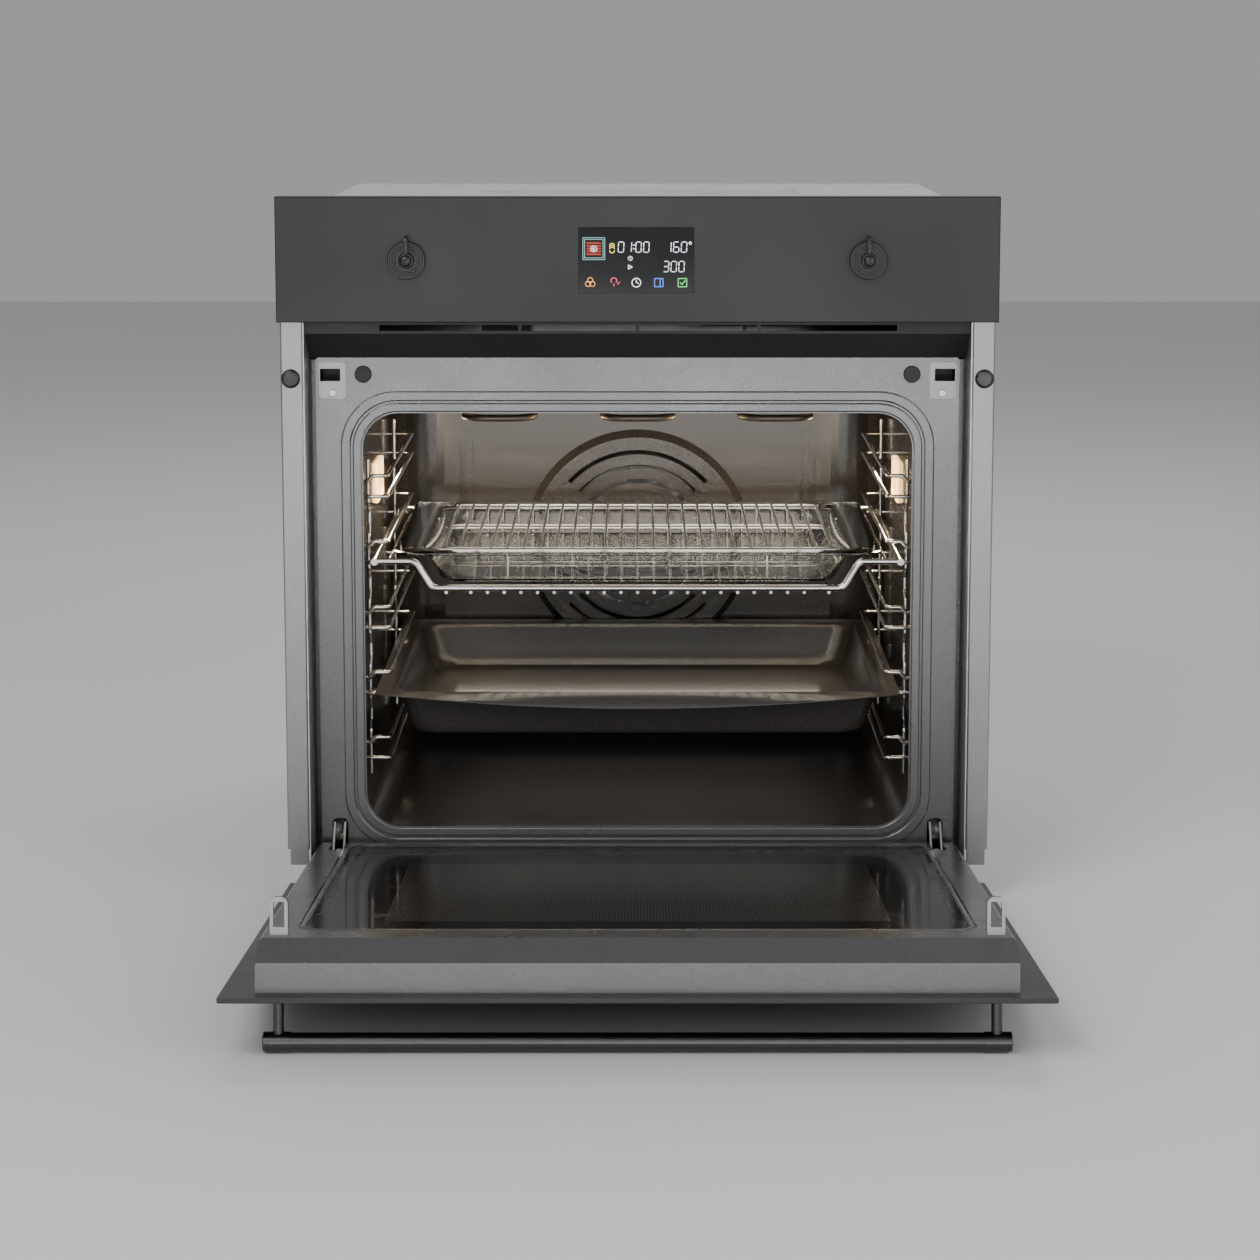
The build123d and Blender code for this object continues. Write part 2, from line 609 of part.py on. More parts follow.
def liner_form(shrink):
    """The pressed inner shell of the door; shrink gives its inside."""
    half = LINER_HALF - shrink
    face = DOOR_INNER - shrink
    base = DOOR_PANEL - (1 if shrink else 0)
    outline = [(base, LINER_BOTTOM + shrink), (face - 4, LINER_BOTTOM + shrink),
               (face, LINER_BOTTOM + 4 + shrink), (face, LINER_TOP - 20 - shrink * 0.4),
               (26 - shrink, LINER_TOP - shrink), (base, LINER_TOP - shrink)]
    form = side_profile(outline, -half, half)
    if not shrink:
        long_edges = form.edges().filter_by(Axis.Z).filter_by_position(Axis.Y, face - 0.1, face + 0.1)
        form = fillet(long_edges, 4)
    return form


def door_liner():
    liner = liner_form(0) - liner_form(LINER_SHEET)
    ledge_y = 36.5
    liner += block(-256, 256, ledge_y - LINER_SHEET, DOOR_INNER - 1, 38, 429)
    liner -= rounded_plate(-GLASS_HALF - 0.3, GLASS_HALF + 0.3, GLASS_BOTTOM - 0.3, GLASS_TOP + 0.3, 10,
                           ledge_y, DOOR_INNER + 1)
    liner -= rounded_plate(-238, 238, 57, 410, 8, ledge_y - 3, ledge_y + 1)
    for side in (1, -1):
        x0, x1 = sorted((side * 249.4, side * 261.2))
        liner -= block(x0, x1, 18.5, DOOR_INNER + 1, LINER_BOTTOM - 1, 68)
    return liner


def door_glass():
    return rounded_plate(-GLASS_HALF, GLASS_HALF, GLASS_BOTTOM, GLASS_TOP, 10, 36.5, DOOR_INNER - 0.3)


def door_screen():
    return block(-243, 243, 33.8, 35.0, 62 - 8, 413)


def middle_glass():
    half = LINER_HALF - LINER_SHEET
    return block(-half, half, 18, 22, 100, 455)


def latch_loop():
    ring = block(LATCH_X - 6.5, LATCH_X + 6.5, DOOR_INNER, DOOR_INNER + 28, LATCH_Z - 2, LATCH_Z + 2)
    tip = ring.edges().filter_by(Axis.Z).filter_by_position(Axis.Y, DOOR_INNER + 27.9, DOOR_INNER + 28.1)
    ring = fillet(tip, 5)
    return ring - block(LATCH_X - 4, LATCH_X + 4, DOOR_INNER + 6, DOOR_INNER + 24.5, LATCH_Z - 3, LATCH_Z + 3)


def handle_bar():
    return rod((-250, HANDLE_Y, HANDLE_Z), (250, HANDLE_Y, HANDLE_Z), 6.6)


def handle_end():
    end = rod((250, HANDLE_Y, HANDLE_Z), (270, HANDLE_Y, HANDLE_Z), 7.25)
    end = fillet(end.edges().filter_by_position(Axis.X, 269.9, 270.1), 1.0)
    end -= rod((266, HANDLE_Y, HANDLE_Z), (266.8, HANDLE_Y, HANDLE_Z), 8) - rod(
        (265, HANDLE_Y, HANDLE_Z), (268, HANDLE_Y, HANDLE_Z), 6.8)
    return end - disc(HANDLE_POST_X, HANDLE_Y + 3, HANDLE_Y + 9, HANDLE_Z, 4.05)


def handle_post():
    post = disc(HANDLE_POST_X, HANDLE_Y + 3, 0, HANDLE_Z, 4.0)
    return post - disc(HANDLE_POST_X, -14, 1, HANDLE_Z, 2.5)


def handle_collar():
    collar = disc(HANDLE_POST_X, -3.2, 0, HANDLE_Z, 6.4)
    collar = fillet(collar.edges().filter_by_position(Axis.Y, -3.3, -3.1), 1.0)
    return collar - disc(HANDLE_POST_X, -5, 1, HANDLE_Z, 4.05)


def handle_screw():
    head = disc(HANDLE_POST_X, DOOR_PANEL, DOOR_PANEL + 3, HANDLE_Z, 4.6)
    return head + disc(HANDLE_POST_X, -12, DOOR_PANEL, HANDLE_Z, 2.45)


# ---------------------------------------------------------------- racks and trays
RACK_Z = LEVEL_Z + RACK_LEVEL * LEVEL_STEP + RAIL_R + 0.35 + 3.0
RACK_FRONT, RACK_BACK = 52.0, 366.0
RACK_DROP = 23.0


def wire_rack():
    edge = 223.7
    low = RACK_Z - RACK_DROP
    pieces = [bent_wire([(-edge, RACK_FRONT, RACK_Z), (-189, RACK_FRONT, RACK_Z), (-175, RACK_FRONT, low),
                         (175, RACK_FRONT, low), (189, RACK_FRONT, RACK_Z), (edge, RACK_FRONT, RACK_Z)],
                        3.0, 8)]
    pieces.append(rod((-edge, RACK_BACK, RACK_Z), (edge, RACK_BACK, RACK_Z), 3.0))
    for side in (1, -1):
        pieces.append(rod((side * edge, RACK_FRONT - 3, RACK_Z), (side * edge, RACK_BACK + 3, RACK_Z), 3.0))
    wire_low = low - 3.4
    places = [pair * 14.2 for pair in range(-10, 11)] + [-163, 163]
    for x in places:
        pieces.append(bent_wire([(x, RACK_FRONT - 2, wire_low), (x, RACK_BACK, wire_low),
                                 (x, RACK_BACK, RACK_Z)], 1.4, 6))
    return join(pieces)


GLASS_RIM = RACK_Z + 3.4
GLASS_FLOOR = RACK_Z - RACK_DROP - 3.4 + 1.4 + 0.3


def tray_form(half_x, y0, y1, taper, z_top, z_bottom, corner):
    """A basin that narrows by taper on every side from its rim to its floor."""
    middle = (y0 + y1) / 2
    top = Pos(0, middle, z_top) * RectangleRounded(2 * half_x, y1 - y0, corner)
    floor = Pos(0, middle, z_bottom) * RectangleRounded(2 * (half_x - taper), y1 - y0 - 2 * taper, corner)
    return loft([floor, top])


def glass_tray():
    tray = Pos(0, 215, GLASS_RIM) * extrude(RectangleRounded(420, 310, 16), 3)
    tray += tray_form(188, 68, 362, 16, GLASS_RIM + 0.5, GLASS_FLOOR, 22)
    return tray - tray_form(185, 71, 359, 16, GLASS_RIM + 4, GLASS_FLOOR + 3, 20)


def tray_grid():
    z = GLASS_RIM + 1.6
    x_half, y0, y1 = 168.0, 84.0, 346.0
    pieces = [rod((-x_half - 3, y, z), (x_half + 3, y, z), 2.0) for y in (y0, y1)]
    pieces += [rod((x, y0, z), (x, y1, z), 1.5) for x in (-x_half, x_half)]
    for wire in range(-11, 12):
        pieces.append(rod((wire * 14.0, y0 - 0.8, z + 1.6), (wire * 14.0, y1 + 0.8, z + 1.6), 1.3))
    for y in (206.0, 222.0):
        pieces.append(rod((-x_half, y, z - 0.2), (x_half, y, z - 0.2), 1.2))
    floor = GLASS_FLOOR + 3.5
    for x in (-112, 112):
        for y in (y0 + 10, y1 - 10):
            pieces.append(disc_up(x, y, floor, z + 1.6, 1.1))
    return join(pieces)


TRAY_Z = LEVEL_Z + TRAY_LEVEL * LEVEL_STEP + RAIL_R + 0.4


def deep_tray():
    flange = Pos(0, 231, TRAY_Z) * extrude(RectangleRounded(452, 358, 10), 1.2)
    tray = flange + tray_form(207, 68, 396, 12, TRAY_Z + 0.6, 128, 18)
    lip = extrude(front_plane(53.2) * make_face([
        Line((-205, TRAY_Z + 0.6), (205, TRAY_Z + 0.6)),
        ThreePointArc((205, TRAY_Z + 0.6), (0, TRAY_Z - 13), (-205, TRAY_Z + 0.6)),
    ]), 1.2)
    tray += lip
    return tray - tray_form(205.8, 69.2, 394.8, 12, TRAY_Z + 2.2, 129.2, 17)


# ---------------------------------------------------------------- the list of parts
FIXED = {
    "base_plate": base_plate,
    "casing_right": casing_side,
    "casing_left": lambda: other_side(casing_side()),
    "casing_top": casing_top,
    "rear_cover": rear_cover,
    "insulation": insulation,
    "front_frame": front_frame,
    "latch_plates": lambda: both_sides(latch_plate()),
    "latch_screws": lambda: both_sides(latch_screw()),
    "door_bumpers": lambda: both_sides(door_bumper()),
    "side_trims": lambda: both_sides(side_trim()),
    "cabinet_screws": lambda: both_sides(cabinet_screw()),
    "screw_caps": lambda: both_sides(screw_cap()),
    "vent_grille": vent_grille,
    "air_deflector": air_deflector,
    "duct_floor": duct_floor,
    "control_panel": control_panel,
    "panel_bracket": panel_bracket,
    "display_window": display_window,
    "display_board": lambda: [display_module(), control_board()],
    "knob_encoders": lambda: [encoder(1), encoder(-1)],
    "oven_cavity": cavity,
    "rear_baffle": rear_baffle,
    "ring_heater": ring_heater,
    "grill_heater": grill_heater,
    "lamp_lenses": lambda: both_sides(lamp_lens()),
    "lamp_housings": lambda: both_sides(lamp_housing()),
    "side_rack_right": side_rack,
    "side_rack_left": lambda: other_side(side_rack()),
    "fan_motor": fan_motor,
    "blower_housing": blower_housing,
    "blower_motor": blower_motor,
    "magnetron": magnetron,
    "waveguide": waveguide,
    "inverter_board": inverter_board,
    "power_board": power_board,
    "door_switches": lambda: both_sides(door_switch()),
    "terminal_block": terminal_block,
    "cable_gland": cable_gland,
    "hinge_arms": lambda: both_sides(hinge_arm()),
    "hinge_springs": lambda: both_sides(hinge_housing()) + both_sides(hinge_spring()),
    "hinge_pins": lambda: both_sides(hinge_pin()),
    "knob_right": lambda: knob(1),
    "knob_left": lambda: knob(-1),
    "wire_rack": wire_rack,
    "glass_tray": glass_tray,
    "tray_grid": tray_grid,
    "deep_tray": deep_tray,
    "convection_fan": convection_fan,
    "blower_wheel": blower_wheel,
}

ON_DOOR = {
    "door_panel": lambda: [door_panel()],
    "door_liner": lambda: [door_liner()],
    "door_glass": lambda: [door_glass()],
    "door_screen": lambda: [door_screen()],
    "middle_glass": lambda: [middle_glass()],
    "latch_loops": lambda: both_sides(latch_loop()),
    "hinge_lugs": lambda: both_sides(hinge_lug()),
    "handle_bar": lambda: [handle_bar()] + both_sides(handle_end()),
    "handle_posts": lambda: both_sides(handle_post()) + both_sides(handle_collar())
    + both_sides(handle_screw()),
}


def write(name, shape):
    pieces = shape if isinstance(shape, list) else [shape]
    placed = [Pos(0, -ORIGIN_Y, 0) * piece for piece in pieces]
    whole = Compound(children=placed) if len(placed) > 1 else placed[0]
    export_step(whole, f"parts/{name}.step")


os.makedirs("parts", exist_ok=True)
for name, make in FIXED.items():
    write(name, make())
for name, make in ON_DOOR.items():
    write(name, [opened(piece) for piece in make()])
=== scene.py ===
import json
import math

import bmesh
import bpy
from mathutils import Euler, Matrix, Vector


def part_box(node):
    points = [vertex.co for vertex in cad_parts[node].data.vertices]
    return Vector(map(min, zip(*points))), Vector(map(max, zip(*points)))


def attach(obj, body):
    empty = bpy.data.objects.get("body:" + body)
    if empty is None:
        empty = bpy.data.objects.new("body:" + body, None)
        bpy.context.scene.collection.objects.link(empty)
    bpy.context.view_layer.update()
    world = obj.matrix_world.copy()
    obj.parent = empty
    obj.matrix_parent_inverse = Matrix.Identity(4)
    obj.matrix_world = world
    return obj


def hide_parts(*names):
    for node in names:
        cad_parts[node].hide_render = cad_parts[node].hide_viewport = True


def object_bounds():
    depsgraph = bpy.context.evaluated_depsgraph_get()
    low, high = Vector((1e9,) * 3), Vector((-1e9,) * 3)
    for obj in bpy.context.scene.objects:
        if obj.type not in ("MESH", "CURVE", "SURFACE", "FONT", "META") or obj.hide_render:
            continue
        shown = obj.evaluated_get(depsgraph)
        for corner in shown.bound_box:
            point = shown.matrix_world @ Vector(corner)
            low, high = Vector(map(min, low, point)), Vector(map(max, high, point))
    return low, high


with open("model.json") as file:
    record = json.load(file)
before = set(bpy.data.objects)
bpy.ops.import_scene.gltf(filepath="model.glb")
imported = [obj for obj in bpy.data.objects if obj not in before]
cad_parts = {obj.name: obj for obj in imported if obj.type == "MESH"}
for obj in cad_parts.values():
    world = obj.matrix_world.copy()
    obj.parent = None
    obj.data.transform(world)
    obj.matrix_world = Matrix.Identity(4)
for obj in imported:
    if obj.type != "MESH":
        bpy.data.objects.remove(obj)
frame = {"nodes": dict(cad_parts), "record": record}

MM = 0.001
cad_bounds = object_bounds()
nodes = frame["nodes"]

# ---------------------------------------------------------------- places taken from the frame
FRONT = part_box("control_panel")[0].y
window_low, window_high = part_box("display_window")
glass_low, glass_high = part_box("glass_tray")
tray_low, tray_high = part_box("deep_tray")
lens_low, lens_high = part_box("lamp_lenses")
cover_low, cover_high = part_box("rear_cover")

# ---------------------------------------------------------------- driving dimensions
DISC_OUT = 6.5 * MM          # how far a knob's disc stands out of the panel
HUB_RADIUS = 6.6 * MM
RING_PITCH = 1.2 * MM
RINGS_ON_DISC = 5
LEVER_HALF = 1.75 * MM
LEVER_BACK = 3.5             # the lever's back, in mm in front of the panel
DIGIT_HEIGHT = 8.5
DIGIT_LINE = 0.55
DIGIT_WIDTH = 0.52           # as a share of the height, like the slant
DIGIT_SLANT = 0.05
DIGIT_STEP = 1.45            # from one digit to the next, in widths
SYMBOL_ROW = -18.5           # height of the lowest row of symbols, from the window's centre
LAYER = 0.08 * MM            # how far the lit symbols lie in front of the window
GLASS_SHEET = 3.0 * MM
ENAMEL_SHEET = 1.0 * MM
LIP_DEPTH = 19 * MM          # the part of the deep tray's front flange that dips
LIP_DROP = 12 * MM
PANE = 3.8 * MM              # the door's inner glass
SCREEN = 1.2 * MM
WINDOW_HALF = (190 * MM, 128 * MM)
SCREW_INSET = 10 * MM
SCREWS_PER_SIDE = 5
FLOOR_HALF = 6.0
FLOOR_GAP = 0.2 * MM         # keeps the floor from meeting the base in one plane
HOLE_PITCH = 2.4 * MM        # of the perforated window
CAMERA_BACK = 2.556          # from the control panel's front
CAMERA_HEIGHT = 0.718
CAMERA_PITCH = 7.9           # degrees below level
CAMERA_LENS = 88.7
CAMERA_SHIFT = (-0.006, -0.12)


# ---------------------------------------------------------------- material helpers
def new_material(name, color, metallic=0.0, roughness=0.5, **more):
    material = bpy.data.materials.new(name)
    material.use_nodes = True
    shader = material.node_tree.nodes["Principled BSDF"]
    shader.inputs["Base Color"].default_value = (*color, 1)
    shader.inputs["Metallic"].default_value = metallic
    shader.inputs["Roughness"].default_value = roughness
    for key, value in more.items():
        shader.inputs[key.replace("_", " ")].default_value = value
    return material


def add(material, kind, **settings):
    node = material.node_tree.nodes.new(kind)
    for key, value in settings.items():
        setattr(node, key, value)
    return node


def link(material, source, target):
    material.node_tree.links.new(source, target)


def shader_of(material):
    return material.node_tree.nodes["Principled BSDF"]


def noise(material, scale, stretch=(1, 1, 1), detail=3.0):
    """A noise in object space, drawn out along the axes where stretch is small."""
    place = add(material, "ShaderNodeTexCoord")
    mapping = add(material, "ShaderNodeMapping")
    mapping.inputs["Scale"].default_value = stretch
    texture = add(material, "ShaderNodeTexNoise")
    texture.inputs["Scale"].default_value = scale
    texture.inputs["Detail"].default_value = detail
    link(material, place.outputs["Object"], mapping.inputs["Vector"])
    link(material, mapping.outputs["Vector"], texture.inputs["Vector"])
    return texture.outputs["Fac"]


def bump(material, height, strength, distance):
    node = add(material, "ShaderNodeBump")
    node.inputs["Strength"].default_value = strength
    node.inputs["Distance"].default_value = distance
    link(material, height, node.inputs["Height"])
    link(material, node.outputs["Normal"], shader_of(material).inputs["Normal"])


def vary(material, source, socket, low, high, start=0.3, stop=0.7):
    """Drives a value of the shader between low and high by a texture."""
    node = add(material, "ShaderNodeMapRange")
    node.inputs["From Min"].default_value = start
    node.inputs["From Max"].default_value = stop
    node.inputs["To Min"].default_value = low
    node.inputs["To Max"].default_value = high
    link(material, source, node.inputs["Value"])
    link(material, node.outputs["Result"], shader_of(material).inputs[socket])


def tint(material, source, first, second, start=0.35, stop=0.65):
    """Blends the base colour between two colours by a texture."""
    ramp = add(material, "ShaderNodeValToRGB")
    ramp.color_ramp.elements[0].position = start
    ramp.color_ramp.elements[1].position = stop
    ramp.color_ramp.elements[0].color = (*first, 1)
    ramp.color_ramp.elements[1].color = (*second, 1)
    link(material, source, ramp.inputs["Fac"])
    link(material, ramp.outputs["Color"], shader_of(material).inputs["Base Color"])


# ---------------------------------------------------------------- materials
def matt_black(name, level, roughness):
    """Powder coat: a very fine grain, with faint cloudiness in its gloss."""
    material = new_material(name, (level, level, level * 1.03), 0.0, roughness)
    vary(material, noise(material, 9), "Roughness", roughness - 0.05, roughness + 0.05)
    tint(material, noise(material, 2600, detail=1), (level * 0.8,) * 3, (level * 1.25,) * 3)
    bump(material, noise(material, 2200), 0.12, 0.0002)
    return material


def metallic_enamel(name, dark, light, roughness):
    """Grey enamel with metal flake: a fine glitter over broad, soft shading."""
    material = new_material(name, light, 0.75, roughness)
    tint(material, noise(material, 3200, detail=1), dark, light, 0.4, 0.6)
    vary(material, noise(material, 14), "Roughness", roughness - 0.02, roughness + 0.03)
    bump(material, noise(material, 900), 0.06, 0.0002)
    return material


def brushed(name, color, roughness, stretch):
    """Steel brushed along the axis whose stretch is small."""
    material = new_material(name, color, 1.0, roughness)
    grain = noise(material, 1500, stretch, 2)
    vary(material, grain, "Roughness", roughness - 0.04, roughness + 0.06)
    tint(material, grain, tuple(c * 0.9 for c in color), tuple(min(1, c * 1.08) for c in color))
    return material


def chrome(name):
    material = new_material(name, (0.78, 0.77, 0.75), 1.0, 0.12)
    vary(material, noise(material, 60), "Roughness", 0.07, 0.2)
    tint(material, noise(material, 22), (0.62, 0.58, 0.53), (0.82, 0.81, 0.79))
    return material


def vitreous_enamel(name, color, roughness):
    """Glossy oven enamel: specks in the colour and a slight orange-peel surface."""
    material = new_material(name, color, 0.0, roughness, Coat_Weight=0.5, Coat_Roughness=0.08)
    tint(material, noise(material, 1500, detail=1), tuple(c * 0.55 for c in color),
         tuple(c * 1.5 for c in color), 0.45, 0.62)
    vary(material, noise(material, 16), "Roughness", roughness - 0.02, roughness + 0.03)
    bump(material, noise(material, 240), 0.03, 0.0002)
    return material


def galvanised(name):
    """Zinc spangle: flat crystals that each catch the light a little differently."""
    material = new_material(name, (0.55, 0.56, 0.57), 1.0, 0.42)
    place = add(material, "ShaderNodeTexCoord")
    cells = add(material, "ShaderNodeTexVoronoi")
    cells.inputs["Scale"].default_value = 90
    link(material, place.outputs["Object"], cells.inputs["Vector"])
    split = add(material, "ShaderNodeSeparateColor")
    link(material, cells.outputs["Color"], split.inputs["Color"])
    tint(material, split.outputs["Red"], (0.50, 0.51, 0.52), (0.60, 0.61, 0.62), 0.1, 0.9)
    vary(material, split.outputs["Green"], "Roughness", 0.38, 0.46, 0, 1)
    return material


def plastic(name, color, roughness):
    material = new_material(name, color, 0.0, roughness)
    bump(material, noise(material, 1400), 0.15, 0.0002)
    vary(material, noise(material, 30), "Roughness", roughness - 0.05, roughness + 0.08)
    return material


def mineral_wool(name):
    material = new_material(name, (0.62, 0.58, 0.42), 0.0, 0.95)
    fibres = noise(material, 160, (1, 1, 0.2), 8)
    tint(material, fibres, (0.45, 0.40, 0.26), (0.74, 0.70, 0.56))
    bump(material, fibres, 0.8, 0.002)
    return material


def circuit_board(name):
    material = new_material(name, (0.02, 0.10, 0.05), 0.0, 0.35)
    tint(material, noise(material, 260, (1, 0.3, 1), 2), (0.012, 0.07, 0.035), (0.03, 0.15, 0.07))
    return material


def tinted_glass(name, color, alpha):
    """Dark door glass: glossy, and see-through by its alpha."""
    material = new_material(name, color, 0.0, 0.05, Alpha=alpha, Coat_Weight=0.4, Coat_Roughness=0.02)
    shader_of(material).inputs["Specular IOR Level"].default_value = 0.35
    vary(material, noise(material, 7), "Roughness", 0.1, 0.16)
    return material


def clear_glass(name):
    material = new_material(name, (0.97, 0.99, 0.98), 0.0, 0.02, Transmission_Weight=1.0, IOR=1.47)
    bump(material, noise(material, 45), 0.04, 0.0006)
    return material


def perforated(name):
    """The microwave screen: rows of round holes in a dark sheet, the holes painted near black as painted
    shade for the dark oven seen through them.
    """
    material = new_material(name, (0.10, 0.10, 0.10), 0.9, 0.45)
    place = add(material, "ShaderNodeTexCoord")
    cells = add(material, "ShaderNodeTexVoronoi", voronoi_dimensions="2D")
    cells.inputs["Scale"].default_value = 1 / HOLE_PITCH
    cells.inputs["Randomness"].default_value = 0.0
    link(material, place.outputs["Object"], cells.inputs["Vector"])
    # painted shade: the holes are coloured near black rather than cut through, standing in for the shaded
    # cavity behind them
    tint(material, cells.outputs["Distance"], (0.008, 0.008, 0.008), (0.5, 0.5, 0.5), 0.28, 0.36)
    return material


def glowing(name, color, strength):
    return new_material(name, color, 0.0, 0.4, Emission_Color=(*color, 1), Emission_Strength=strength)


def lamp_glass(name):
    """Ribbed lamp cover, lit from behind."""
    material = glowing(name, (1.0, 0.62, 0.26), 3.0)
    ribs = noise(material, 300, (1, 1, 0.05), 0)
    vary(material, ribs, "Emission Strength", 1.6, 5.0)
    bump(material, ribs, 0.5, 0.001)
    return material


SLOTS = {
    "casing": galvanised("galvanised"),
    "insulation": mineral_wool("mineral_wool"),
    "frame_enamel": metallic_enamel("frame_enamel", (0.12, 0.12, 0.124), (0.21, 0.21, 0.214), 0.27),
    "trim_steel": brushed("trim_steel", (0.30, 0.30, 0.305), 0.34, (1, 1, 0.04)),
    "black_cap": plastic("black_cap", (0.012, 0.012, 0.013), 0.25),
    "bumper_rubber": plastic("bumper_rubber", (0.02, 0.02, 0.02), 0.6),
    "chrome": chrome("chrome"),
    "zinc_screw": brushed("zinc_screw", (0.5, 0.5, 0.5), 0.3, (1, 1, 1)),
    "vent_black": matt_black("vent_black", 0.02, 0.5),
    "panel_black": matt_black("panel_black", 0.012, 0.42),
    "display_glass": tinted_glass("display_glass", (0.004, 0.004, 0.005), 1.0),
    "knob_black": matt_black("knob_black", 0.018, 0.25),
    "circuit_board": circuit_board("circuit_board"),
    "moulding": plastic("moulding", (0.06, 0.06, 0.06), 0.5),
    "cavity_enamel": vitreous_enamel("cavity_enamel", (0.05, 0.045, 0.041), 0.22),
    "heater_sheath": brushed("heater_sheath", (0.20, 0.17, 0.14), 0.45, (1, 1, 1)),
    "lamp_glass": lamp_glass("lamp_glass"),
    "fan_steel": brushed("fan_steel", (0.5, 0.5, 0.5), 0.35, (1, 1, 1)),
    "motor_steel": brushed("motor_steel", (0.35, 0.35, 0.36), 0.4, (1, 0.1, 1)),
    "door_black": matt_black("door_black", 0.012, 0.30),
    "liner_enamel": metallic_enamel("liner_enamel", (0.10, 0.10, 0.104), (0.18, 0.18, 0.184), 0.27),
    "door_glass": tinted_glass("door_glass", (0.006, 0.006, 0.007), 0.42),
    "mesh_steel": matt_black("screen_sheet", 0.012, 0.5),
    "clear_glass": clear_glass("clear_glass"),
    "handle_metal": brushed("handle_metal", (0.085, 0.085, 0.088), 0.30, (0.04, 1, 1)),
    "tray_enamel": vitreous_enamel("tray_enamel", (0.045, 0.040, 0.037), 0.3),
    "black_plastic": plastic("black_plastic", (0.015, 0.015, 0.015), 0.45),
}

SMOOTH_ANGLE = math.radians(35)


def smooth(obj):
    for face in obj.data.polygons:
        face.use_smooth = True
    obj.data.set_sharp_from_angle(angle=SMOOTH_ANGLE)


def dress_frame():
    """Every carried-over CAD node gets the material of its slot."""
    for row in frame["record"]["subparts"]:
        obj = nodes[row["node"]]
        material = SLOTS[row["material_slot"]]
        obj.data.materials.clear()
        obj.data.materials.append(material)


# ---------------------------------------------------------------- mesh helpers
def make_piece(name, vertices, faces, slot, body, material=None):
    """A mesh in metres in the row frame, riding on a body."""
    mesh = bpy.data.meshes.new(name)
    mesh.from_pydata([tuple(v) for v in vertices], [], faces)
    mesh.validate()
    builder = bmesh.new()
    builder.from_mesh(mesh)
    bmesh.ops.remove_doubles(builder, verts=builder.verts, dist=1e-6)
    bmesh.ops.recalc_face_normals(builder, faces=builder.faces)
    builder.to_mesh(mesh)
    builder.free()
    obj = bpy.data.objects.new(name, mesh)
    bpy.context.scene.collection.objects.link(obj)
    mesh.materials.append(material or SLOTS[slot])
    smooth(obj)
    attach(obj, body)
    return obj


def rounded_loop(half_x, half_y, radius, steps=10):
    """Points round a rounded rectangle, always the same number of them."""
    points = []
    radius = max(radius, 1e-5)
    for corner, (sx, sy) in enumerate(((1, 1), (-1, 1), (-1, -1), (1, -1))):
        for step in range(steps + 1):
            turn = math.pi / 2 * (corner + step / steps)
            points.append((sx * (half_x - radius) + radius * math.cos(turn),
                           sy * (half_y - radius) + radius * math.sin(turn)))
    return points


def loft(loops):
    """Vertices and faces of a closed form through loops of equal length, capped at both ends."""
    count = len(loops[0])
    vertices = [point for loop in loops for point in loop]
    faces = []
    for row in range(len(loops) - 1):
        for i in range(count):
            j = (i + 1) % count
            faces.append((row * count + i, row * count + j, (row + 1) * count + j, (row + 1) * count + i))
    faces.append(tuple(range(count)))
    faces.append(tuple(reversed(range((len(loops) - 1) * count, len(loops) * count))))
    return vertices, faces


def lathe(profile, centre, segments=72):
    """A form turned about an axis along Y; the profile is (radius, distance in front of centre)."""
    vertices, faces = [], []
    for radius, out in profile:
        for i in range(segments):
            turn = 2 * math.pi * i / segments
            vertices.append((centre.x + radius * math.cos(turn), centre.y - out,
                             centre.z + radius * math.sin(turn)))
    for row in range(len(profile) - 1):
        for i in range(segments):
            j = (i + 1) % segments
            faces.append((row * segments + i, row * segments + j,
                          (row + 1) * segments + j, (row + 1) * segments + i))
    return vertices, faces


def tube_loops(path, radius, sides=12):
    """Faces of an oval tube round a closed path; radius is its half width and half height."""
    vertices, faces = [], []
    count = len(path)
    for i, point in enumerate(path):
        ahead = (path[(i + 1) % count] - path[i - 1]).normalized()
        side = ahead.cross(Vector((0, 0, 1))).normalized()
        up = side.cross(ahead).normalized()
        for k in range(sides):
            turn = 2 * math.pi * k / sides
            across = side * (radius[0] * math.cos(turn))
            vertices.append(point + across + up * (radius[1] * math.sin(turn)))
    for i in range(count):
        for k in range(sides):
            a, b = i * sides + k, i * sides + (k + 1) % sides
            c, d = ((i + 1) % count) * sides + (k + 1) % sides, ((i + 1) % count) * sides + k
            faces.append((a, b, c, d))
    return vertices, faces


